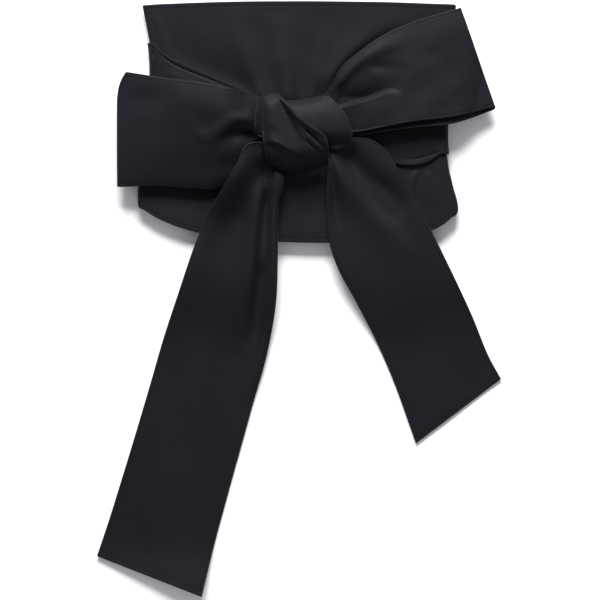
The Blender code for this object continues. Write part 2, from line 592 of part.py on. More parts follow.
def build():
    laid, hem = Laid(), Laid()
    panel = panel_rows()
    clothe("waist_panel", panel, PANEL_WALL)
    crossing_behind()
    laid.add(panel, PANEL_WALL)
    hem.add(panel, PANEL_WALL)

    for name, sections in (("left", LEFT_BAND), ("right", RIGHT_BAND)):
        band = band_rows(laid, name, sections)
        clothe(f"tie_band_{name}", band, TIE_WALL)
        laid.add(band, TIE_WALL)

    left = loop_rows(laid, LEFT_LOOP, LEFT_LOOP_CREASES, overhang=(9.0, 6.0), trim=LOOP_TRIM)
    clothe("bow_loop_left", left, TIE_WALL)
    right = loop_rows(laid, RIGHT_LOOP, RIGHT_LOOP_CREASES, overhang=(12.0, 8.0), peek=PEEK,
                     pressed=True)
    clothe("bow_loop_right", right, TIE_WALL)
    laid.add(left, TIE_WALL)

    tail = tail_rows(laid, hem, LEFT_TAIL, LEFT_TAIL_CREASES, LEFT_RISE, along=45, across=12)
    clothe("bow_tail_left", tail, TIE_WALL)
    laid.add(tail, TIE_WALL)
    tail = tail_rows(laid, hem, RIGHT_TAIL, RIGHT_TAIL_CREASES, RIGHT_RISE, along=33, across=12)
    clothe("bow_tail_right", tail, TIE_WALL)
    laid.add(tail, TIE_WALL)
    laid.add(right, TIE_WALL)

    knot_core()
    band = wrap_rows(laid, KNOT_BAND, [], along=21, across=20, bow=2.6)
    clothe("knot_band", band, TIE_WALL)
    laid.add(band, TIE_WALL)
    tuck = wrap_rows(laid, KNOT_TUCK, KNOT_CREASES, along=23, across=18, bow=3.0, roll=3.2)
    clothe("knot_tuck", tuck, TIE_WALL)


for item in list(bpy.data.objects):
    bpy.data.objects.remove(item, do_unlink=True)
collection = bpy.data.collections.new("obi_sash")
bpy.context.scene.collection.children.link(collection)
build()
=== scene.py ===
"""Obi sash laid flat on a table and tied in a bow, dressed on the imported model.

The same tables as the solids set every piece's form. Here each piece is a thin closed shell of
satin with turned edges, sewn lines, finer creases and a procedural satin weave.
Lengths in the tables are millimetres, and MM turns them into metres.
"""

import math
from collections import namedtuple

import bpy
import numpy as np
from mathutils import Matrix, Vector


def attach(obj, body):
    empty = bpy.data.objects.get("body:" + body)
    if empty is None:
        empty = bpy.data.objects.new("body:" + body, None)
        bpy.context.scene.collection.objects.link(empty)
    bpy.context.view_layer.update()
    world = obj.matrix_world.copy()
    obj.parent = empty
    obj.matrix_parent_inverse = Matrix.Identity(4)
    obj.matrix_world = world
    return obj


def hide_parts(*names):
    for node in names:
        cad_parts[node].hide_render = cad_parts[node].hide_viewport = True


MM = 0.001

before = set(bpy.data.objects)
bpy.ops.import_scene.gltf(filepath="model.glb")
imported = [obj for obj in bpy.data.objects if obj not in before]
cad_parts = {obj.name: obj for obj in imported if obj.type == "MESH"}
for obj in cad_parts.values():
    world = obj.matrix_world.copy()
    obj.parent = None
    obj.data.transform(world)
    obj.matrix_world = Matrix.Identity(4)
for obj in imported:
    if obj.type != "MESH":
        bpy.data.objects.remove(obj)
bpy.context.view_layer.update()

# Driving sizes
CLEAR = 0.3  # between neighbouring pieces
TIE_WALL = 1.8  # two plies of satin, turned and pressed
PANEL_WALL = 2.4  # satin, interlining and backing
FOLD_RADIUS = 3.0  # middle of the panel's wall where it turns under at the sides
BACK_END = 60.0  # how far from the centre line each panel end stops behind
BACK_LOW, BACK_HIGH = 129.0, 223.0  # the tie's two edges where it is sewn to a panel end
SKEW = 5.0  # how far the ties slide along the panel's ends as they cross
PANEL_MIDDLE = 8.2  # middle of the panel's wall over the crossed ties
SLUMP = 60.0  # how far in from a side the panel takes to sink to that height

# Heights that follow from the layers
PANEL_BACK = TIE_WALL + CLEAR + PANEL_WALL / 2
TURN = PANEL_BACK + FOLD_RADIUS
PANEL_SIDE = TURN + FOLD_RADIUS
BAND_RADIUS = FOLD_RADIUS + PANEL_WALL / 2 + CLEAR + TIE_WALL / 2

# The panel's outline: its two sides up the panel, and its two long edges along it
Side = namedtuple("Side", "y left right")
SIDES = [
    Side(70, -143, 142.5),
    Side(84, -144.8, 143.1),
    Side(100, -144.9, 139),
    Side(116, -142.4, 135.2),
    Side(138, -137.7, 132.4),
    Side(170, -133.4, 133),
    Side(197, -132.4, 135.6),
    Side(224, -133.6, 138.2),
    Side(240, -136.2, 139.6),
    Side(265, -141.4, 141.4),
]
Edge = namedtuple("Edge", "x low high")
PANEL_EDGES = [
    Edge(-140, 80.5, 263.8),
    Edge(-129, 73, 264.6),
    Edge(-114, 66.2, 265.2),
    Edge(-89, 59, 266.2),
    Edge(-53, 53.8, 267.1),
    Edge(0, 50.6, 267.4),
    Edge(53, 51.2, 267),
    Edge(89, 54.6, 266.3),
    Edge(118, 61, 265.2),
    Edge(130, 66.6, 264.8),
    Edge(139, 74, 264.5),
]
SIDE_LOW, SIDE_HIGH = 86.0, 263.5  # the panel's edges where it turns under

# A tie, loop or tail is a row for each section, with the ends of the section on the table
Section = namedtuple("Section", "where high low puff", defaults=[0])
LEFT_BAND = [
    Section("side", (-131.5, 229.8), (-131.5, 128.5)),
    Section("by the side", (-119, 218.6), (-117, 130)),
    Section("over the panel", (-101.7, 210.4), (-98, 131.5)),
    Section("middle", (-77, 199.3), (-72, 134.5)),
    Section("neck", (-40, 182.8), (-42, 143)),
    Section("under the knot", (-29.5, 178), (-29.5, 147)),
]
RIGHT_BAND = [
    Section("side", (128, 228), (126.5, 130)),
    Section("over the panel", (110, 222), (115, 122.6)),
    Section("middle", (88, 208), (91, 120.4)),
    Section("neck", (60, 184), (58, 132)),
    Section("under the knot", (37, 171), (42.5, 149)),
]
LEFT_LOOP = [
    Section("under the knot", (-29.5, 178.5), (-29.5, 147.5), 3.4),
    Section("neck", (-38, 182.3), (-38, 139), 5.5),
    Section("shoulder", (-53, 185.8), (-51, 115), 9.5),
    Section("swell", (-77.4, 191.3), (-72, 99.5), 12.5),
    Section("middle", (-101.7, 195), (-98, 99.4), 12),
    Section("outer", (-131, 198.6), (-130, 101.4), 9.5),
    Section("end", (-163.8, 203.9), (-163.3, 100.6), 4.4),
]
RIGHT_LOOP = [
    Section("under the knot", (22.5, 181), (43, 149), 3.4),
    Section("neck", (28.5, 190.5), (51.5, 149.2), 5.5),
    Section("shoulder", (37, 206), (66, 151.6), 8.5),
    Section("swell", (52, 219.6), (84, 155.2), 10.5),
    Section("middle", (76, 236.2), (107, 159), 10.5),
    Section("outer", (106, 249.2), (136, 162.6), 8),
    Section("end", (145.3, 261), (176.4, 172.6), 4.4),
]
LEFT_TAIL = [
    Section("under the knot", (-33, 140), (-19.5, 123.5)),
    Section("leaving", (-43.5, 139), (-15, 114.5)),
    Section("first fold", (-55, 121), (-13.4, 104)),
    Section("over the hem", (-77, 84), (-18, 86.5)),
    Section("off the panel", (-90, 56.7), (-18.9, 52)),
    Section("upper", (-108.9, 3.6), (-21, -6)),
    Section("turn", (-122.4, -36.9), (-29, -50)),
    Section("straight", (-134.1, -77.4), (-41, -93)),
    Section("lower", (-158.4, -158.4), (-65.7, -182)),
    Section("near the end", (-171, -198.9), (-77, -224)),
    Section("end", (-181.8, -231.3), (-87.3, -267.4)),
]
RIGHT_TAIL = [
    Section("under the knot", (43.5, 144.5), (27, 134)),
    Section("leaving", (60, 144), (25.8, 122)),
    Section("first fold", (76, 135), (25, 104)),
    Section("over the panel", (89, 115.5), (25.2, 80.1)),
    Section("over the hem", (110, 77.5), (28, 47)),
    Section("off the panel", (124, 50.5), (35.5, 26)),
    Section("upper", (140, 18), (51, -2.5)),
    Section("middle", (156, -16), (69, -37)),
    Section("near the end", (169.5, -49), (86.4, -77.4)),
    Section("end", (181.8, -72), (105.2, -130)),
]
PEEK = [0.0, 3.0, 3.5, 4.5, 5.5, 6.0, 2.5]  # how far the right loop's under run shows below it
LOOP_TRIM = 8.5  # how far the left loop's upper corner is pulled in
LEFT_RISE, RIGHT_RISE = 2.0, 6.5  # how much higher each tail leaves the knot than what it lies on
RISE_RUN = 75.0  # over what length that sinks
LOOP_CROWN = 0.25  # how much flatter a loop is along its two edges than down its middle
LOW_CROWN = 0.75  # the same along a loop's lower edge
PRESSED_CROWN = 0.78  # the same where its two runs are pressed together

# A crease is a soft ridge along a path, or a trough where its height is negative
Crease = namedtuple("Crease", "where path height left right")
PANEL_CREASES = [
    Crease("knot to upper left", ((-26, 166), (-38, 194), (-50, 230), (-60, 262)), 3.6, 11, 9),
    Crease("dip along the left band", ((-30, 184), (-62, 199), (-98, 214), (-130, 236)), -1.6, 7, 13),
    Crease("knot straight up", ((-7, 166), (-11, 192), (-15, 226), (-20, 258)), 3.8, 10, 9),
    Crease("knot to the upper middle", ((8, 168), (13, 192), (20, 224), (26, 246)), 2.0, 6, 7),
    Crease("knot to upper right", ((18, 180), (27, 198), (39, 214), (56, 230), (79, 245),
                                   (104, 254)), 2.6, 13, 6),
    Crease("dip above the right loop", ((26, 190), (43, 210), (60, 225), (83, 238),
                                        (108, 246)), -1.8, 4, 8),
    Crease("beside the left side", ((-133, 260), (-126, 240), (-118, 222), (-112, 208)), 1.6, 5, 6),
    Crease("under the right band", ((106, 117), (102, 106), (100, 94), (102, 80)), 1.3, 3.5, 3.5),
    Crease("beside it", ((113, 117), (117, 106), (118, 94), (116, 80)), 0.9, 4, 4),
    Crease("between the tails", ((2, 128), (4, 100), (5, 62)), -1.6, 15, 13),
]
LEFT_LOOP_CREASES = [
    Crease("high upper side", ((-44, 184), (-90, 188), (-130, 193), (-160, 197)), 7.0, 42, 30),
    Crease("upper dent", ((-164, 180), (-138, 177), (-108, 178)), -4.0, 11, 15),
    Crease("long soft ridge", ((-40, 170), (-62, 168), (-86, 170), (-112, 176),
                               (-138, 182)), 1.8, 12, 10),
    Crease("pulled ridge", ((-38, 154), (-48, 160), (-58, 159), (-68, 151), (-79, 143),
                            (-90, 142)), 4.4, 5, 7),
    Crease("its outer turn", ((-80, 143), (-90, 146), (-97, 156), (-102, 168)), 1.3, 6, 8),
    Crease("hollow under it", ((-36, 141), (-46, 147), (-60, 148), (-74, 136)), -5.5, 8, 4),
    Crease("long shade", ((-50, 124), (-76, 118), (-104, 120), (-132, 127)), -2.6, 11, 13),
]
RIGHT_LOOP_CREASES = [
    Crease("deep hollow", ((30, 171), (44, 175), (58, 179), (72, 184), (82, 187),
                           (92, 183)), -5.5, 17, 1.0),
    Crease("under the pleat", ((30, 171), (44, 175), (58, 179), (72, 184), (82, 187),
                               (92, 183)), -3.5, 7, 1.0),
    Crease("shoulder ridge", ((28, 182), (40, 198), (52, 210), (70, 221), (98, 232)), 3.6, 6, 5),
    Crease("small dent", ((62, 209), (76, 207), (98, 205)), -1.8, 5, 6),
    Crease("far soft fold", ((116, 226), (130, 207), (146, 192)), -1.2, 9, 9),
]
LEFT_TAIL_CREASES = [
    Crease("raised left edge", ((-38, 140), (-50, 119), (-72, 82), (-85, 54), (-102, 6),
                                (-116, -40)), 4.5, 11, 9),
    Crease("dark hollow", ((-33, 130), (-40, 106), (-50, 84), (-58, 64)), -6.0, 10, 11),
    Crease("middle ridge", ((-33, 102), (-36, 84), (-39, 60), (-42, 34), (-47, 4),
                            (-57, -50)), 6.5, 4.5, 12),
    Crease("dark valley", ((-29, 122), (-29.5, 84), (-30.5, 58), (-33, 26), (-37, -8),
                           (-45, -66)), -7.0, 5, 5),
    Crease("lit facet", ((-22, 126), (-18, 106), (-21, 84), (-24, 62)), 6.5, 8, 7),
    Crease("raised right edge", ((-18, 100), (-22, 84), (-22.5, 50), (-25, -6), (-33, -52),
                                 (-44, -96)), 8.0, 4, 5),
]
RIGHT_TAIL_CREASES = [
    Crease("long ridge", ((24, 134), (34, 115), (46, 97), (63, 79), (86, 56), (110, 28)), 4.0, 7, 12),
    Crease("raised left edge", ((26, 116), (27, 84), (33, 44), (46, 10)), 3.0, 3.5, 5),
    Crease("dark strip", ((31, 120), (32, 92), (37, 60)), -3.0, 4, 4),
    Crease("hollow beside it", ((37, 142), (53, 116), (73, 94), (94, 72)), -8.0, 12, 9),
    Crease("long right ridge", ((74, 130), (92, 100), (112, 62), (134, 18)), 2.0, 8, 9),
]

# The knot: a hidden core of folded layers, the band round the bow's middle and the end tucked over it
CORE_CENTRE, CORE_RADII = (4.0, 158.5, 19.2), (25.0, 14.0, 9.4)
Wrap = namedtuple("Wrap", "where start end z_start z_middle z_end bend", defaults=[0.0])
KNOT_BAND = [
    Wrap("upper rim", (-37.8, 181.8), (24.8, 184.4), 14, 13.5, 15, 5.5),
    Wrap("upper turn", (-38, 179.6), (26.4, 182.4), 18.5, 19.5, 20, 5.2),
    Wrap("upper shoulder", (-38.4, 174.8), (31.6, 176.8), 21, 26, 24, 4),
    Wrap("crown", (-39.1, 165), (39.4, 168.4), 22, 29.5, 26, 2),
    Wrap("middle", (-39.9, 156), (45, 158.2), 22, 31, 27, 0.6),
    Wrap("lower crown", (-40.5, 149), (47.6, 149.3), 21, 31, 26.5),
    Wrap("lower shoulder", (-37.6, 146.2), (47.2, 143.6), 19.5, 28, 24.5),
    Wrap("lower turn", (-30.5, 143.2), (42.6, 138.2), 17.5, 22, 21),
    Wrap("lower rim", (-24, 138.8), (34.2, 133.8), 15, 17, 17),
]
KNOT_TUCK = [
    Wrap("upper rim", (-32.6, 183.4), (-18.6, 183.6), 15, 15, 16),
    Wrap("upper turn", (-32.7, 181), (-16.6, 181), 22, 26, 29),
    Wrap("shoulder", (-32.8, 174), (-10.6, 174.4), 26.5, 34, 38),
    Wrap("crown", (-33, 162), (-0.4, 162.8), 28, 36, 40.5),
    Wrap("middle", (-32.9, 149.5), (12.4, 152.8), 29, 36, 41),
    Wrap("belly", (-31.8, 137), (23.2, 145), 28.5, 35.5, 39.5),
    Wrap("lower crown", (-28.8, 125.5), (26, 135), 25, 33, 35),
    Wrap("lower turn", (-19, 117), (25.8, 126.4), 19, 25, 26),
    Wrap("lower rim", (-7, 113.8), (22, 120), 12, 14, 15),
]
KNOT_CREASES = [
    Crease("under the fold", ((-20, 181), (-14.5, 172), (-9, 160), (-3.5, 149), (3, 140),
                              (10, 132)), -3.4, 3.2, 7),
    Crease("lower roll", ((-33, 144), (-20, 139.5), (-6, 132), (5, 126.5), (16, 122.5)), 2.4, 7, 4),
]

# The cloth as it shows: a little thinner than the solids' walls, with its edges turned and sewn
SHELL, PANEL_SHELL = 1.3, 1.9
PITCH = 1.6  # between neighbouring points of a sheet
HEM, PANEL_HEM = 3.2, 4.2  # from an edge to its sewn line
BOTH_EDGES = ("low", "high")  # a strip's two long edges, which are sewn
EDGE_RADIUS = 0.7  # of a sheet's turned edge
GROOVE, GROOVE_WIDTH = 0.14, 0.45  # what a sewn line pulls in
PUCKER, PUCKER_WIDTH = 0.05, 0.9  # the ripple between a sewn line and the edge
STITCH, STITCH_GAP, THREAD = 2.5, 0.9, 0.42  # a stitch, the gap to the next, and how thick it is
LIFT, STITCH_ARCH = 0.05, 0.16  # the thread off the cloth, and its middle over its ends

# Finished widths, and the tails' lengths
PANEL_WIDTH, TIE_WIDTH, TAIL_WIDTH = 217.0, 97.0, 95.0
KNOT_BAND_WIDTH, KNOT_TUCK_WIDTH = 92.0, 60.0
LEFT_LENGTH, RIGHT_LENGTH = 425.0, 285.0

# The two hidden pieces: the crossed ties' height, and the ridges of the layers inside the knot
CROSSED_HEIGHT = 4.05
RIDGES, RIDGE, RIDGE_TWIST = 9, 0.035, 4
FAR_FROM_EDGE = 5.0  # past where the satin is worn

# How far cloth bridges over what it lies on, and where a tail begins to follow the hem alone
BAND_REACH, LOOP_REACH, WRAP_REACH = 4.5, 22.0, 1.0
TAIL_REACH, TAIL_FAR_REACH, TAIL_HEM_REACH = 8.0, 22.0, 58.0
GUARD_REACH, GUARD_HEM_REACH = 3.0, 24.0
HEM_BEGINS, HEM_RUN = 112, 68


def through(places, values, at):
    """A smooth curve through the values at those places, read at other places."""
    places, values, at = (np.asarray(a, float) for a in (places, values, at))
    slope = np.gradient(values, places, axis=0)
    i = np.clip(np.searchsorted(places, at, side="right") - 1, 0, len(places) - 2)
    width = places[i + 1] - places[i]
    t = (at - places[i]) / width
    shape = (-1,) + (1,) * (values.ndim - 1)
    t, width = t.reshape(shape), width.reshape(shape)
    a, b = values[i], values[i + 1]
    return (
        a * (2 * t**3 - 3 * t**2 + 1)
        + b * (3 * t**2 - 2 * t**3)
        + slope[i] * width * (t**3 - 2 * t**2 + t)
        + slope[i + 1] * width * (t**3 - t**2)
    )


def eased(t):
    """0 below 0, 1 above 1, and a smooth step between."""
    t = np.clip(t, 0, 1)
    return t * t * (3 - 2 * t)


def column(rows, name):
    """One named column of a table, as an array."""
    return np.array([getattr(row, name) for row in rows], float)


def side_x(name, y):
    """The outer face of the panel's left or right side at a height up the panel."""
    ys = column(SIDES, "y")
    return through(ys, column(SIDES, name), np.clip(y, ys[0], ys[-1]).ravel()).reshape(np.shape(y))


def turn_x(name, y):
    """The line that the panel and the bands turn round at that side."""
    inward = 1 if name == "left" else -1
    return side_x(name, y) + inward * (PANEL_WALL / 2 + FOLD_RADIUS)


def crease_height(x, y, creases):
    """What the creases add at each point: full along their paths, fading sideways and at the ends."""
    total = np.zeros(np.shape(x))
    for crease in creases:
        path = np.array(crease.path, float)
        steps = np.linalg.norm(np.diff(path, axis=0), axis=1)
        along = np.concatenate([[0], np.cumsum(steps)])
        fine = np.linspace(0, along[-1], 70)
        line = through(along, path, fine)
        ahead = np.gradient(line, fine, axis=0)
        away = np.stack([x[..., None] - line[:, 0], y[..., None] - line[:, 1]], axis=-1)
        distance = np.linalg.norm(away, axis=-1)
        nearest = distance.argmin(axis=-1)
        near = np.take_along_axis(distance, nearest[..., None], -1)[..., 0]
        picked = np.take_along_axis(away, nearest[..., None, None], -2)[..., 0, :]
        turn = ahead[nearest][..., 0] * picked[..., 1] - ahead[nearest][..., 1] * picked[..., 0]
        on_line = (nearest > 0) & (nearest < len(fine) - 1)
        onward = (ahead[nearest] * picked).sum(axis=-1)
        near = np.where(on_line, np.abs(turn), near)
        share = np.clip((fine[nearest] + np.where(on_line, onward, 0)) / along[-1], 0, 1)
        width = np.where(turn > 0, crease.left, crease.right) * (0.7 + 0.6 * share)
        fade = eased(5 * share) * (1 - share**2)
        total += crease.height * bell(near, width) * fade
    return total


def rumple(x, y, seed, size, height):
    """A soft unevenness between 0 and height, whose swells are about that size across."""
    chance = np.random.default_rng(seed)
    total = np.zeros(np.shape(x))
    for _ in range(7):
        angle, phase = chance.uniform(0, 2 * math.pi, 2)
        wave = 2 * math.pi / (size * chance.uniform(0.7, 1.6))
        total += np.sin(wave * (x * math.cos(angle) + y * math.sin(angle)) + phase)
    return height * (0.5 + 0.5 * np.tanh(total / 3.2))


def smoothed(values, times):
    """The grid's values, averaged with their neighbours that many times, edges kept."""
    for _ in range(times):
        for axis in (0, 1):
            v = np.moveaxis(values, axis, 0).copy()
            v[1:-1] = (v[:-2] + 2 * v[1:-1] + v[2:]) / 4
            values = np.moveaxis(v, 0, axis)
    return values


class Laid:
    """Heights of the cloth that already lies on the table, on a square grid."""

    STEP = 1.0
    LOW, HIGH = np.array([-205.0, -290.0]), np.array([205.0, 290.0])

    def __init__(self):
        self.size = np.ceil((self.HIGH - self.LOW) / self.STEP).astype(int) + 1
        self.top = np.zeros(self.size)

    def add(self, middle, wall):
        """Notes a sheet, given the middle of its wall as rows of points."""
        spans = [np.linalg.norm(np.diff(middle, axis=k), axis=-1).max() for k in (0, 1)]
        for axis, span in enumerate(spans):
            count = int((middle.shape[axis] - 1) * math.ceil(span / (0.7 * self.STEP))) + 1
            at = np.linspace(0, middle.shape[axis] - 1, count)
            i = np.minimum(at.astype(int), middle.shape[axis] - 2)
            t = (at - i).reshape([-1 if k == axis else 1 for k in range(3)])
            middle = middle.take(i, axis) * (1 - t) + middle.take(i + 1, axis) * t
        cell = np.rint((middle[..., :2] - self.LOW) / self.STEP).astype(int).reshape(-1, 2)
        np.maximum.at(self.top, (cell[:, 0], cell[:, 1]), middle[..., 2].ravel() + wall / 2)

    def under(self, x, y, reach):
        """The height that cloth laid over it takes at those points, bridging over that reach."""
        cells = int(round(reach / self.STEP))
        spread = self.top
        for axis in (0, 1):
            spread = np.max([np.roll(spread, k, axis) for k in range(-cells - 3, cells + 4)], axis=0)
        third = cells // 3
        for axis in (0, 1):
            for width in (third, third, cells - 2 * third):
                rolled = [np.roll(spread, k, axis) for k in range(-width, width + 1)]
                spread = np.mean(rolled, axis=0)
        place = (np.stack([x, y], axis=-1) - self.LOW) / self.STEP
        i = np.clip(place.astype(int), 0, self.size - 2)
        t = place - i
        a, b, s, r = i[..., 0], i[..., 1], t[..., 0], t[..., 1]
        low = spread[a, b] * (1 - s) + spread[a + 1, b] * s
        high = spread[a, b + 1] * (1 - s) + spread[a + 1, b + 1] * s
        return low * (1 - r) + high * r


def places(length, hem, pitch=PITCH):
    """Distances along a strip of cloth: close together at its edges and sewn lines, even between."""
    near = [0, 0.12, 0.4, 0.8, 1.3, 1.9, hem - 0.7, hem - 0.35, hem, hem + 0.35, hem + 0.9]
    start = near[-1] + pitch * 0.8
    count = max(int((length - 2 * start) / pitch), 2)
    between = np.linspace(start, length - start, count + 1)
    return np.concatenate([near, between, length - np.array(near[::-1])])


def bell(distance, width):
    """1 at no distance, fading smoothly to 0 past the width."""
    return np.exp(-((distance / width) ** 2))


def rounded(distance, radius):
    """How full the shell's wall is at that distance from its edge."""
    return np.sqrt(np.clip(1 - (1 - np.clip(distance / radius, 0, 1)) ** 2, 0, 1))


def dressed(mesh, material, node=None):
    """The mesh as a piece that rides on the sash's one body, in place of a node if one is given."""
    mesh.shade_smooth()
    piece = bpy.data.objects.new(mesh.name, mesh)
    bpy.context.scene.collection.objects.link(piece)
    mesh.materials.append(material)
    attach(piece, "root")
    if node:
        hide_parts(node)
    return piece


def tube(rings, ring, first=0):
    """The faces of a closed tube: rings of that many points in order, capped at both ends."""
    faces = []
    for k in range(rings - 1):
        for j in range(ring):
            a, b = first + k * ring + j, first + k * ring + (j + 1) % ring
            faces.append((a, b, b + ring, a + ring))
    faces.append(tuple(first + j for j in reversed(range(ring))))
    faces.append(tuple(first + (rings - 1) * ring + j for j in range(ring)))
    return faces


def shell(node, middle, across, along, wall, hem, sewn=BOTH_EDGES, facing=None):
    """A closed thin sheet round the middle points, with turned edges and a groove at its sewn lines.

    across and along are each column's and row's distances on the flat cloth. facing is a row whose
    outer face looks up. Gives the object and its outer face.
    """
    facing = middle.shape[0] // 2 if facing is None else facing
    column_way = np.gradient(middle, axis=1)
    row_way = np.gradient(middle, axis=0)
    normal = np.cross(column_way, row_way)
    normal /= np.maximum(np.linalg.norm(normal, axis=-1, keepdims=True), 1e-9)
    flipped = normal[facing, middle.shape[1] // 2, 2] < 0
    if flipped:
        normal = -normal
    width, length = across[-1], along[-1]
    to_low, to_high = across, width - across
    to_ends = np.minimum(along, length - along)
    full = rounded(np.minimum(to_low, to_high), EDGE_RADIUS)[None, :]
    full = full * rounded(to_ends, EDGE_RADIUS)[:, None]
    half = full * wall / 2
    outer = half.copy()
    for side, distance in zip(BOTH_EDGES, (to_low, to_high)):
        if side in sewn:
            outer -= GROOVE * bell(distance - hem, GROOVE_WIDTH)[None, :] * (full > 0.9)
            pucker = PUCKER * np.sin(2 * math.pi * along / (STITCH + STITCH_GAP))[:, None]
            outer += pucker * bell(distance - hem * 0.55, PUCKER_WIDTH)[None, :] * (full > 0.9)
    if "ends" in sewn:
        outer -= GROOVE * bell(to_ends - hem, GROOVE_WIDTH)[:, None] * (full > 0.9)
    top = middle + normal * outer[..., None]
    bottom = middle - normal * half[..., None]

    rows, columns = middle.shape[:2]
    upper = np.arange(rows * columns).reshape(rows, columns)
    lower = upper.copy()
    lower[1:-1, 1:-1] = rows * columns + np.arange((rows - 2) * (columns - 2)).reshape(rows - 2, -1)
    points = np.concatenate([top.reshape(-1, 3), bottom[1:-1, 1:-1].reshape(-1, 3)]) * MM

    def quads(ids, reverse):
        a, b, c, d = ids[:-1, :-1], ids[:-1, 1:], ids[1:, 1:], ids[1:, :-1]
        order = (a, d, c, b) if reverse else (a, b, c, d)
        return np.stack([v.ravel() for v in order], axis=-1)

    faces = np.concatenate([quads(upper, flipped), quads(lower, not flipped)])
    mesh = bpy.data.meshes.new(f"{node}_cloth")
    mesh.vertices.add(len(points))
    mesh.vertices.foreach_set("co", points.ravel())
    mesh.loops.add(faces.size)
    mesh.loops.foreach_set("vertex_index", faces.ravel())
    mesh.polygons.add(len(faces))
    mesh.polygons.foreach_set("loop_start", np.arange(0, faces.size, 4))
    mesh.update(calc_edges=True)
    mesh.validate()
    flat = np.stack(np.broadcast_arrays(across[None, :], along[:, None]), axis=-1) * MM
    flat = np.concatenate([flat.reshape(-1, 2), flat[1:-1, 1:-1].reshape(-1, 2)])
    layer = mesh.uv_layers.new(name="cloth")
    layer.data.foreach_set("uv", flat[faces.ravel()].ravel())
    edge = np.minimum(np.minimum(to_low, to_high)[None, :], to_ends[:, None])
    edge = np.concatenate([edge.ravel(), edge[1:-1, 1:-1].ravel()])
    mesh.attributes.new("edge_mm", "FLOAT", "POINT").data.foreach_set("value", edge)
    return dressed(mesh, satin, node), top, normal


def stitches(name, lines):
    """Thread along lines of (points, normals): a row of small rounded stitches, all in one piece."""
    ring = 6
    profile = [(0.0, 0.35), (0.12, 0.8), (0.5, 1.0), (0.88, 0.8), (1.0, 0.35)]
    points, faces = [], []
    for line, normal in lines:
        steps = np.linalg.norm(np.diff(line, axis=0), axis=1)
        along = np.concatenate([[0], np.cumsum(steps)])
        count = int(along[-1] / (STITCH + STITCH_GAP))
        if count < 1:
            continue
        start = (np.arange(count) + 0.5) * along[-1] / count - STITCH / 2
        for begin in start:
            at = np.array([begin + STITCH * share for share, _ in profile])
            spine = np.stack([np.interp(at, along, line[:, k]) for k in range(3)], axis=-1)
            up = np.stack([np.interp(at, along, normal[:, k]) for k in range(3)], axis=-1)
            ahead = spine[-1] - spine[0]
            ahead /= max(np.linalg.norm(ahead), 1e-9)
            side = np.cross(up, ahead)
            side /= np.maximum(np.linalg.norm(side, axis=-1, keepdims=True), 1e-9)
            first = len(points)
            for k, (share, swell) in enumerate(profile):
                lift = up[k] * (THREAD * 0.1 + STITCH_ARCH * math.sin(math.pi * share))
                for j in range(ring):
                    angle = 2 * math.pi * j / ring
                    out = side[k] * math.cos(angle) + up[k] * math.sin(angle) * 0.8
                    points.append(spine[k] + lift + out * THREAD / 2 * swell)
            faces += tube(len(profile), ring, first)
    mesh = bpy.data.meshes.new(name)
    mesh.from_pydata([tuple(p * MM) for p in points], [], faces)
    mesh.update()
    return dressed(mesh, thread)


def sewn_line(top, normal, across, hem, side, first=0, last=None):
    """The points and normals of a sewn line on a piece's outer face."""
    want = hem if side == "low" else across[-1] - hem
    k = int(np.abs(across - want).argmin())
    last = len(top) if last is None else last
    return top[first:last, k] + normal[first:last, k] * LIFT, normal[first:last, k]


def closed(node, points, faces):
    """A hidden piece from its points and faces, with cloth all over it that is far from any edge."""
    mesh = bpy.data.meshes.new(f"{node}_cloth")
    mesh.from_pydata(points, [], faces)
    mesh.update()
    layer = mesh.uv_layers.new(name="cloth")
    for loop in mesh.loops:
        x, y, z = mesh.vertices[loop.vertex_index].co
        layer.data[loop.index].uv = (x, y + z)
    edge = mesh.attributes.new("edge_mm", "FLOAT", "POINT")
    edge.data.foreach_set("value", np.full(len(points), FAR_FROM_EDGE))
    return dressed(mesh, satin, node)


def hidden_crossing():
    """The two ties where they cross behind the panel, with the layer line that their edges show."""
    half = BACK_END - 2 * CLEAR
    profile = [(0.15, 0.0), (0.0, 0.5), (0.05, 1.1), (0.45, 1.6), (1.3, 1.6), (1.7, 1.2), (1.95, 0.5),
               (2.2, 1.2), (2.6, 1.6), (3.4, 1.6), (3.85, 1.1), (4.0, 0.4)]
    points = []
    stations = np.linspace(-half, half, 80)
    for x in stations:
        skew = SKEW * math.sin(math.pi * x / (2 * half))
        low = [(x, BACK_LOW + 1 - out + skew, z) for z, out in profile]
        high = [(x, BACK_HIGH - 1 + out + skew, z) for z, out in profile]
        inner = np.linspace(BACK_LOW + 2 + skew, BACK_HIGH - 2 + skew, 30)
        top = [(x, y, CROSSED_HEIGHT) for y in inner]
        base = [(x, y, 0.0) for y in inner]
        row = base + high + top[::-1] + low[::-1]
        points += [tuple(v * MM for v in point) for point in row]
    faces = tube(len(stations), len(row))
    return closed("ties_crossed_behind", points, faces)


def hidden_core():
    """The folded layers inside the knot, as one soft bundle with their ridges running through it."""
    points = []
    rings, ring = 48, 72
    for i in range(1, rings):
        polar = math.pi * i / rings
        for j in range(ring):
            angle = 2 * math.pi * j / ring
            out = math.sin(polar)
            way = (out * math.cos(angle), math.cos(polar), out * math.sin(angle))
            layered = 1 - RIDGE * (1 - math.cos(RIDGES * angle + RIDGE_TWIST * way[1])) * out
            place = [c + v * r * layered for c, v, r in zip(CORE_CENTRE, way, CORE_RADII)]
            points.append(tuple(v * MM for v in place))
    return closed("knot_core", points, tube(rings - 1, ring))


def nodes_of(name):
    """A new material with its node tree and its shader."""
    material = bpy.data.materials.new(name)
    material.use_nodes = True
    tree = material.node_tree
    return material, tree, tree.nodes["Principled BSDF"]


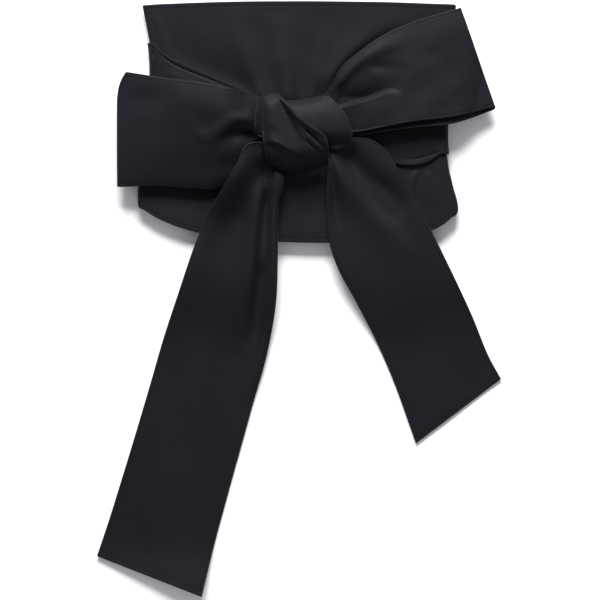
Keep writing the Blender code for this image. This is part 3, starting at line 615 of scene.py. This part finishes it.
def add_node(tree, kind, **values):
    """A node with its settings and the values of its inputs."""
    node = tree.nodes.new(kind)
    for key, value in values.items():
        if hasattr(node, key):
            setattr(node, key, value)
        else:
            set_inputs(node, **{key: value})
    return node


def join(source, output, target, socket):
    """A link from a node's output to another's input."""
    source.id_data.links.new(source.outputs[output], target.inputs[socket])


def set_inputs(node, **values):
    """Plain values for a node's inputs, by their names with _ for a space."""
    for name, value in values.items():
        node.inputs[name.replace("_", " ")].default_value = value


def add_ramp(tree, low, high):
    """A colour ramp between two (position, colour) stops."""
    ramp = tree.nodes.new("ShaderNodeValToRGB")
    for element, (position, colour) in zip(ramp.color_ramp.elements, (low, high)):
        element.position = position
        element.color = colour
    return ramp


def make_satin():
    """Heavy black satin: long warp floats that follow the cloth, small slubs, and paler worn edges."""
    material, tree, shader = nodes_of("black_satin")
    place = add_node(tree, "ShaderNodeUVMap", uv_map="cloth")
    stretch = add_node(tree, "ShaderNodeMapping", Scale=(3200, 900, 1))
    join(place, "UV", stretch, "Vector")
    floats = add_node(tree, "ShaderNodeTexNoise", Scale=1.0, Detail=2.0, Roughness=0.5)
    join(stretch, "Vector", floats, "Vector")
    ribs = add_node(tree, "ShaderNodeTexWave", wave_type="BANDS", bands_direction="X", Scale=700.0,
                    Distortion=0.6, Detail=1.0)
    join(place, "UV", ribs, "Vector")
    streak = add_node(tree, "ShaderNodeMapping", Scale=(220, 18, 1))
    join(place, "UV", streak, "Vector")
    slubs = add_node(tree, "ShaderNodeTexNoise", Scale=1.0, Detail=3.0, Roughness=0.6)
    join(streak, "Vector", slubs, "Vector")
    body = add_node(tree, "ShaderNodeTexCoord")
    cloudy = add_node(tree, "ShaderNodeTexNoise", Scale=22.0, Detail=3.0, Roughness=0.55)
    join(body, "Object", cloudy, "Vector")

    tone = add_ramp(tree, (0.3, (0.0066, 0.0061, 0.0088, 1)), (0.75, (0.0082, 0.0076, 0.0108, 1)))
    join(cloudy, "Fac", tone, "Fac")
    edge = add_node(tree, "ShaderNodeAttribute", attribute_name="edge_mm")
    near = add_node(tree, "ShaderNodeMapRange", From_Min=0.0, From_Max=1.2, To_Min=0.25, To_Max=0.0)
    join(edge, "Fac", near, "Value")
    worn = add_node(tree, "ShaderNodeMix", data_type="RGBA")
    worn.inputs["B"].default_value = (0.018, 0.017, 0.022, 1)
    join(near, "Result", worn, "Factor")
    join(tone, "Color", worn, "A")
    join(worn, "Result", shader, "Base Color")

    rough = add_node(tree, "ShaderNodeMapRange", To_Min=ROUGH[0], To_Max=ROUGH[1])
    join(slubs, "Fac", rough, "Value")
    join(rough, "Result", shader, "Roughness")

    weave = add_node(tree, "ShaderNodeMath", operation="MULTIPLY_ADD")
    weave.inputs[1].default_value = 0.35
    join(ribs, "Fac", weave, 0)
    join(floats, "Fac", weave, 2)
    fine = add_node(tree, "ShaderNodeBump", Strength=0.35, Distance=0.00006)
    join(weave, "Value", fine, "Height")
    slight = add_node(tree, "ShaderNodeBump", Strength=0.5, Distance=0.00012)
    join(slubs, "Fac", slight, "Height")
    join(fine, "Normal", slight, "Normal")
    join(slight, "Normal", shader, "Normal")

    set_inputs(shader, Metallic=0.0, Specular_IOR_Level=SPECULAR, Sheen_Weight=0.06,
               Sheen_Roughness=0.35, Sheen_Tint=(0.75, 0.75, 1.0, 1.0))
    return material


def make_thread():
    """Black twisted thread, a shade duller than the satin."""
    material, tree, shader = nodes_of("black_thread")
    body = add_node(tree, "ShaderNodeTexCoord")
    twist = add_node(tree, "ShaderNodeTexWave", wave_type="BANDS", bands_direction="DIAGONAL",
                     Scale=1400.0)
    join(body, "Object", twist, "Vector")
    tone = add_ramp(tree, (0, (0.0046, 0.0044, 0.0060, 1)), (1, (0.0085, 0.0080, 0.0108, 1)))
    join(twist, "Fac", tone, "Fac")
    join(tone, "Color", shader, "Base Color")
    bump = add_node(tree, "ShaderNodeBump", Strength=0.5, Distance=0.00008)
    join(twist, "Fac", bump, "Height")
    join(bump, "Normal", shader, "Normal")
    set_inputs(shader, Roughness=0.6, Specular_IOR_Level=0.1)
    return material


def make_floor():
    """A plain pale table."""
    material, tree, shader = nodes_of("pale_table")
    body = add_node(tree, "ShaderNodeTexCoord")
    grain = add_node(tree, "ShaderNodeTexNoise", Scale=90.0, Detail=2.0)
    join(body, "Object", grain, "Vector")
    tone = add_ramp(tree, (0, (0.86, 0.86, 0.86, 1)), (1, (0.90, 0.90, 0.90, 1)))
    join(grain, "Fac", tone, "Fac")
    join(tone, "Color", shader, "Base Color")
    set_inputs(shader, Roughness=0.9, Specular_IOR_Level=0.1)
    return material


def softbox(name, where, size, power):
    """A soft rectangular lamp that is aimed at the middle of the table."""
    light = bpy.data.lights.new(name, "AREA")
    light.shape = "RECTANGLE"
    light.size, light.size_y = size
    light.energy = power
    lamp = bpy.data.objects.new(name, light)
    bpy.context.scene.collection.objects.link(lamp)
    lamp.location = where
    lamp.rotation_euler = Vector(where).to_track_quat("Z", "Y").to_euler()


def spread_rows(rows, at_share):
    """The sections' two ends at those shares of the way along them."""
    high, low = column(rows, "high"), column(rows, "low")
    steps = np.linalg.norm(np.diff((high + low) / 2, axis=0), axis=1)
    along = np.concatenate([[0], np.cumsum(steps)])
    at = along[-1] * np.asarray(at_share)
    return through(along, high, at), through(along, low, at), along, at


def crossed(ends_high, ends_low, t):
    """Points across each section, from its low end to its high end."""
    t = t.reshape(1, -1, 1)
    return ends_low[:, None, :] * (1 - t) + ends_high[:, None, :] * t


def flat_along(middle):
    """Distances along the middle column of a sheet."""
    line = middle[:, middle.shape[1] // 2]
    return np.concatenate([[0], np.cumsum(np.linalg.norm(np.diff(line, axis=0), axis=1))])


def panel_height(x, y):
    """The middle of the front panel's wall: high at the folded sides, sunk and creased between."""
    inside = np.minimum(x - turn_x("left", y), turn_x("right", y) - x)
    flat = PANEL_SIDE + (PANEL_MIDDLE - PANEL_SIDE) * eased(inside / SLUMP)
    uneven = rumple(x, y, seed=3, size=46, height=0.7)
    return flat + (crease_height(x, y, PANEL_CREASES) + uneven) * eased(inside / 16)


def panel_rows(front, turn, back, across):
    """The panel round from its left end behind, over the front, to its right end behind."""
    t = across / across[-1]
    xs = column(PANEL_EDGES, "x")
    rows = []

    def behind(name, share):
        outward = -1 if name == "left" else 1
        y = (SIDE_LOW + (BACK_LOW - SIDE_LOW) * share) * (1 - t)
        y = y + (SIDE_HIGH + (BACK_HIGH - SIDE_HIGH) * share) * t
        x = turn_x(name, y) * (1 - share) + outward * BACK_END * share
        return np.stack([x, y, np.full_like(x, PANEL_BACK)], axis=-1)

    def turning(name, angle):
        outward = -1 if name == "left" else 1
        share = eased(angle / math.pi)
        edge = PANEL_EDGES[0 if name == "left" else -1]
        y = (SIDE_LOW + (edge.low - SIDE_LOW) * share) * (1 - t)
        y = y + (SIDE_HIGH + (edge.high - SIDE_HIGH) * share) * t
        x = turn_x(name, y) + outward * FOLD_RADIUS * math.sin(angle)
        return np.stack([x, y, np.full_like(x, TURN - FOLD_RADIUS * math.cos(angle))], axis=-1)

    rows += [behind("left", share) for share in 1 - np.linspace(0, 1, back + 1)]
    rows += [turning("left", math.pi * k / (turn + 1)) for k in range(1, turn + 1)]
    for share in np.linspace(0, 1, front):
        nominal = xs[0] + (xs[-1] - xs[0]) * share
        low = through(xs, column(PANEL_EDGES, "low"), [nominal])
        high = through(xs, column(PANEL_EDGES, "high"), [nominal])
        y = low * (1 - t) + high * t
        x = turn_x("left", y) * (1 - share) + turn_x("right", y) * share
        rows.append(np.stack([x, y, panel_height(x, y)], axis=-1))
    rows += [turning("right", math.pi * k / (turn + 1)) for k in range(turn, 0, -1)]
    rows += [behind("right", share) for share in np.linspace(0, 1, back + 1)]
    return np.array(rows)


def band_rows(laid, name, sections, turn, back, front, across, seed):
    """A tie from its crossing behind the panel, round the side and over the front to the knot."""
    outward = -1 if name == "left" else 1
    t = across / across[-1]
    high, low = sections[0].high[1], sections[0].low[1]
    rows = []
    for share in np.linspace(0, 1, back):
        y = (BACK_LOW * (1 - share) + low * share) * (1 - t)
        y = y + (BACK_HIGH * (1 - share) + high * share) * t
        x = outward * (BACK_END - CLEAR) * (1 - share) + turn_x(name, y) * share
        rows.append(np.stack([x, y, np.full_like(x, TIE_WALL / 2)], axis=-1))
    for k in range(1, turn + 1):
        angle = math.pi * k / (turn + 1)
        y = low * (1 - t) + high * t
        x = turn_x(name, y) + outward * BAND_RADIUS * math.sin(angle)
        rows.append(np.stack([x, y, np.full_like(x, TURN - BAND_RADIUS * math.cos(angle))], axis=-1))
    ends_high, ends_low, _, _ = spread_rows(sections, np.linspace(0, 1, front))
    flat = crossed(ends_high, ends_low, t)
    x, y = flat[..., 0], flat[..., 1]
    at_side = turn_x(name, y[0])
    x[0] = at_side
    away = np.abs(x - at_side)
    z = smoothed(laid.under(x, y, BAND_REACH), 6) + CLEAR + TIE_WALL / 2
    uneven = rumple(x, y, seed, size=30, height=0.5)
    z += (uneven + crease_height(x, y, BAND_CREASES)) * eased(away / 12)
    z = np.maximum(z, TURN + BAND_RADIUS - 9.0 * eased(away / 60))
    z[0] = TURN + BAND_RADIUS
    rows += list(np.stack([x, y, z], axis=-1))
    return np.array(rows)


def loop_rows(laid, sections, creases, overhang, across, seed, trim, peek, pressed):
    """A bow loop: out from the knot along its under run, round its end and back over the top.

    A pressed loop keeps its height along its lower edge, where its two runs lie close together.
    """
    upper, lower, turn = 100, 50, 11  # rows in each run and round the end
    t = across / across[-1]
    high, low, along, at = spread_rows(sections, np.linspace(0, 1, upper))
    ahead = np.gradient((high + low) / 2, axis=0)[-1]
    ahead /= np.linalg.norm(ahead)
    end_gap = sections[-1].puff
    pull = end_gap / 2 + TIE_WALL / 2 + trim * (np.clip(t - 0.68, 0, 1) / 0.32) ** 3
    share = (at / along[-1]) ** 3

    top = crossed(high, low, t)
    top = top - ahead * pull[None, :, None] * share[:, None, None]
    picks = np.linspace(0, upper - 1, lower).round().astype(int)
    shown = np.zeros(len(sections)) if peek is None else np.array(peek)
    drop = through(along, shown, at)[:, None, None] * (1 - t).reshape(1, -1, 1) ** 2
    side = np.array([ahead[1], -ahead[0]])
    bottom = (top + side * drop)[picks]

    under = laid.under(bottom[..., 0], bottom[..., 1], LOOP_REACH)
    under = smoothed(under, 6) + CLEAR + TIE_WALL / 2
    held = overhang[0] + (overhang[1] - overhang[0]) * share[picks][:, None]
    z_bottom = np.maximum(under, held)
    gap = through(along, column(sections, "puff"), at)[:, None]
    low_crown = PRESSED_CROWN if pressed else LOW_CROWN
    crown = 1 - np.where(t < 0.5, low_crown, LOOP_CROWN) * np.abs(2 * t - 1) ** 2.4
    crown = 1 + (crown - 1) * (1 - 0.5 * share[:, None])
    if pressed:
        raising = gap * (1 - crown) * (t < 0.5)
        z_bottom = z_bottom + raising[picks]
    floor = np.array([np.interp(range(upper), picks, z_bottom[:, k]) for k in range(len(t))]).T
    fade = eased(1.6 * (1 - share))[:, None]
    x, y = top[..., 0], top[..., 1]
    uneven = rumple(x, y, seed, size=34, height=1.0)
    raised = gap * crown + (crease_height(x, y, creases) + uneven) * fade
    z_top = smoothed(floor + np.maximum(raised, TIE_WALL + 1.0), 2)

    rows = list(np.concatenate([bottom, z_bottom[..., None]], axis=-1))
    middle, radius = (z_top[-1] + z_bottom[-1]) / 2, (z_top[-1] - z_bottom[-1]) / 2
    for k in range(1, turn + 1):
        angle = math.pi * k / (turn + 1)
        flat = bottom[-1] + (top[-1] - bottom[-1]) * k / (turn + 1)
        out = flat + ahead * (end_gap / 2 * math.sin(angle))
        rows.append(np.concatenate([out, (middle - radius * math.cos(angle))[:, None]], axis=-1))
    rows += list(np.concatenate([top, z_top[..., None]], axis=-1)[::-1])
    return np.array(rows)


def tail_rows(laid, hem, sections, creases, rise, shares, across, seed):
    """A tail of the bow, draped from the knot over the panel and down on to the table."""
    high, low, _, at = spread_rows(sections, shares)
    flat = crossed(high, low, across / across[-1])
    x, y = flat[..., 0], flat[..., 1]
    lower_down = eased((HEM_BEGINS - y) / HEM_RUN)
    away = np.hypot(x - x[0].mean(), y - y[0].mean())
    far = eased(away / 32 - 0.3)
    over = laid.under(x, y, TAIL_REACH) * (1 - far) + laid.under(x, y, TAIL_FAR_REACH) * far
    z = over * (1 - lower_down) + hem.under(x, y, TAIL_HEM_REACH) * lower_down
    z = smoothed(z, 8) + TIE_WALL / 2
    z += np.where(z > TIE_WALL, CLEAR, 0) * eased((z - TIE_WALL) / 2)
    z += rise * (1 - eased(away / RISE_RUN))
    below = laid.under(x, y, GUARD_REACH) * (1 - lower_down)
    below = below + hem.under(x, y, GUARD_HEM_REACH) * lower_down
    guard = below + np.where(below > 0, CLEAR, 0) + TIE_WALL / 2
    creased = z + crease_height(x, y, creases) * eased(at / 14)[:, None]
    z = smoothed(np.maximum(creased, np.minimum(guard, z)), 3)
    z += rumple(x, y, seed, size=60, height=0.6) * eased(at / 30)[:, None]
    return np.concatenate([flat, z[..., None]], axis=-1)


def wrap_rows(laid, wraps, creases, across, count, bow, seed, roll=0.0):
    """Cloth drawn over the knot: sections that arch between their ends, clear of what they cover.

    roll is how far the cloth rolls down at both ends of a section, as it does over a fold.
    """
    steps = np.arange(len(wraps))
    at = np.linspace(0, steps[-1], count)
    t = across / across[-1]
    names = ("start", "end", "z_start", "z_middle", "z_end", "bend")
    start, end, *heights = (through(steps, column(wraps, name), at) for name in names)
    z_start, middle, z_end, bend = (each[:, None] for each in heights)
    flat = crossed(end, start, t)
    flat[..., 1] -= bend * 4 * t * (1 - t)
    arch = np.clip(1 - np.abs(2 * t - 1) ** bow, 0, 1)
    z = (z_start * (1 - t) + z_end * t) * (1 - arch) + middle * arch
    inside = eased(at / 2) * eased((steps[-1] - at) / 2)
    x, y = flat[..., 0], flat[..., 1]
    uneven = rumple(x, y, seed, size=22, height=0.3)
    z += (crease_height(x, y, creases) + uneven) * inside[:, None]
    if roll:
        wide = np.linalg.norm(end - start, axis=-1)[:, None]
        z -= roll * (1 - rounded(wide * np.minimum(t, 1 - t), roll)) * inside[:, None]
    guard = smoothed(laid.under(x, y, WRAP_REACH), 2) + CLEAR + TIE_WALL / 2
    z = guard + 0.5 * np.logaddexp(0, 2 * (z - guard))
    return np.concatenate([flat, z[..., None]], axis=-1)


# Creases that only the dressed cloth has
BAND_CREASES = [
    Crease("left band pull", ((-122, 205), (-96, 192), (-62, 182)), 1.2, 6, 7),
    Crease("left band's inner line", ((-130, 223.5), (-112, 210.5), (-83, 198),
                                      (-56, 187)), -1.3, 0.9, 0.9),
    Crease("right band fall", ((126, 146), (98, 143), (70, 146)), 1.8, 9, 6),
    Crease("right band's inner line", ((133, 136), (117, 128.5), (101, 125.2),
                                       (84, 126.5)), -1.2, 0.9, 0.9),
]
FINE_LEFT_TAIL = [
    Crease("hem's inner line", ((-20.5, 98), (-23.6, 84), (-24.2, 50), (-26.8, -6), (-35, -52),
                                (-47, -100)), 1.0, 1.1, 1.2),
]
FINE_RIGHT_TAIL = [
    Crease("fold's bright line", ((27, 136), (31, 126), (35, 117), (42, 108)), 1.4, 1.3, 1.6),
]
FINE_TUCK = [
    Crease("slit one", ((3.5, 154), (7.5, 149), (12.5, 144.5), (18.5, 138.5),
                        (25.5, 132)), -2.6, 1.2, 1.2),
    Crease("finger between", ((5.5, 147), (14.5, 138.5), (22.5, 131)), 0.8, 1.3, 1.3),
    Crease("slit two", ((5.5, 142), (13.5, 134.6), (21.5, 128)), -2.0, 1.0, 1.1),
    Crease("faint pull", ((-30, 160), (-20, 153), (-10, 142), (-4, 136)), 0.5, 4, 5),
    Crease("crisp roll", ((-28, 142), (-18, 138.5), (-5, 132), (7, 127)), 0.8, 1.6, 1.8),
    Crease("crisp fold", ((-21, 183), (-14, 175.5), (-8, 168.5), (-2.5, 161.5), (4, 155),
                          (11, 150)), 1.2, 1.5, 1.7),
]
FINE_BAND = [
    Crease("gather one", ((-38.4, 184), (-39.3, 160), (-38.4, 132)), 1.0, 0.9, 0.9),
    Crease("gather two", ((-35.4, 185), (-35.6, 160), (-35.2, 130)), 1.2, 0.9, 0.9),
    Crease("right swell", ((12, 182), (24, 170), (34, 156), (38, 146)), 0.8, 8, 10),
]

ROUGH = (0.56, 0.66)  # the satin's least and greatest roughness
SPECULAR = 0.08

satin, thread = make_satin(), make_thread()
laid, hem = Laid(), Laid()
lines = []
UNSEEN = 20  # rows of a band, from behind, that its sewn lines leave out
LOOP_FACE = 40  # rows of a loop from its end under the knot to one that looks up
CORNER = 8  # rows or columns from a tail's corner to where two sewn lines meet

# The waist panel
across = places(PANEL_WIDTH, PANEL_HEM)
middle = panel_rows(front=182, turn=13, back=10, across=across)
along = flat_along(middle)
panel, top, normal = shell("waist_panel", middle, across, along, PANEL_SHELL, PANEL_HEM)
laid.add(middle, PANEL_WALL)
hem.add(middle, PANEL_WALL)
lines += [sewn_line(top, normal, across, PANEL_HEM, side) for side in BOTH_EDGES]

# The ties' bands, round the sides to the knot
across = places(TIE_WIDTH, HEM, pitch=1.2)
for name, sections, seed in (("left", LEFT_BAND, 11), ("right", RIGHT_BAND, 12)):
    middle = band_rows(laid, name, sections, turn=13, back=22, front=70, across=across, seed=seed)
    along = flat_along(middle)
    piece, top, normal = shell(f"tie_band_{name}", middle, across, along, SHELL, HEM,
                               facing=len(middle) - UNSEEN)
    laid.add(middle, TIE_WALL)
    lines += [sewn_line(top, normal, across, HEM, side, first=UNSEEN) for side in BOTH_EDGES]

# The bow's loops
across = places(TIE_WIDTH, HEM, pitch=1.0)
loops = (
    ("left", LEFT_LOOP, LEFT_LOOP_CREASES, (9.0, 6.0), 21, LOOP_TRIM, None, False),
    ("right", RIGHT_LOOP, RIGHT_LOOP_CREASES, (12.0, 8.0), 22, 0.0, PEEK, True),
)
right_loop = None
for name, sections, creases, overhang, seed, trim, peek, pressed in loops:
    middle = loop_rows(laid, sections, creases, overhang, across, seed, trim, peek, pressed)
    along = flat_along(middle)
    piece, top, normal = shell(f"bow_loop_{name}", middle, across, along, SHELL, HEM,
                               facing=len(middle) - LOOP_FACE)
    if name == "left":
        laid.add(middle, TIE_WALL)
    else:
        right_loop = middle
    lines += [sewn_line(top, normal, across, HEM, side) for side in BOTH_EDGES]

# The bow's tails
across = places(TAIL_WIDTH, HEM)
tails = (
    ("left", LEFT_TAIL, LEFT_TAIL_CREASES + FINE_LEFT_TAIL, LEFT_RISE, LEFT_LENGTH, 31),
    ("right", RIGHT_TAIL, RIGHT_TAIL_CREASES + FINE_RIGHT_TAIL, RIGHT_RISE, RIGHT_LENGTH, 32),
)
for name, sections, creases, rise, length, seed in tails:
    along = places(length, HEM)
    middle = tail_rows(laid, hem, sections, creases, rise, along / length, across, seed)
    piece, top, normal = shell(f"bow_tail_{name}", middle, across, along, SHELL, HEM,
                               sewn=BOTH_EDGES + ("ends",))
    laid.add(middle, TIE_WALL)
    last = len(top) - CORNER
    lines += [sewn_line(top, normal, across, HEM, side, last=last) for side in BOTH_EDGES]
    k = int(np.abs(along - (along[-1] - HEM)).argmin())
    inner = normal[k, CORNER:-CORNER]
    lines.append((top[k, CORNER:-CORNER] + inner * LIFT, inner))
laid.add(right_loop, TIE_WALL)

# The knot
across = places(KNOT_BAND_WIDTH, HEM, pitch=1.0)
middle = wrap_rows(laid, KNOT_BAND, FINE_BAND, across, count=96, bow=2.6, seed=41)
along = flat_along(middle)
piece, top, normal = shell("knot_band", middle, across, along, SHELL, HEM)
laid.add(middle, TIE_WALL)
lines.append(sewn_line(top, normal, across, HEM, "high", first=6, last=90))
across = places(KNOT_TUCK_WIDTH, HEM, pitch=0.8)
creases = KNOT_CREASES + FINE_TUCK
middle = wrap_rows(laid, KNOT_TUCK, creases, across, count=110, bow=3.0, seed=42, roll=3.2)
along = flat_along(middle)
piece, _, _ = shell("knot_tuck", middle, across, along, SHELL, HEM, sewn=())

# What is hidden, and the sewing
hidden_crossing()
hidden_core()
stitches("sewn_lines", lines)

# The table, the light and the camera, which looks straight down at the photo's scale
bpy.ops.mesh.primitive_plane_add(size=6, location=(0, 0, -0.0003))
table = bpy.context.object
table.name = "table_top"
table.data.materials.append(make_floor())

world = bpy.data.worlds.new("studio")
world.use_nodes = True
sky = world.node_tree.nodes["Background"]
sky.inputs["Color"].default_value = (0.93, 0.95, 1.0, 1)
sky.inputs["Strength"].default_value = 0.38
bpy.context.scene.world = world
bpy.context.scene.view_settings.view_transform = "Standard"

softbox("key", (-0.1, 1.85, 1.08), (1.2, 0.75), 117)
softbox("fill", (0.5, -1.3, 0.9), (1.0, 0.6), 3)

camera = bpy.data.objects.new("camera", bpy.data.cameras.new("camera"))
bpy.context.scene.collection.objects.link(camera)
bpy.context.scene.camera = camera
HEIGHT, SEEN, SENSOR = 3.0, 0.54, 36
PIXEL = 0.0009  # of the photo, on the table: the photo's middle is one off the origin
camera.location = (PIXEL, -PIXEL, HEIGHT)
camera.rotation_euler = (0, 0, 0)
camera.data.sensor_width = SENSOR
camera.data.lens = SENSOR * HEIGHT / SEEN
camera.data.clip_end = 20
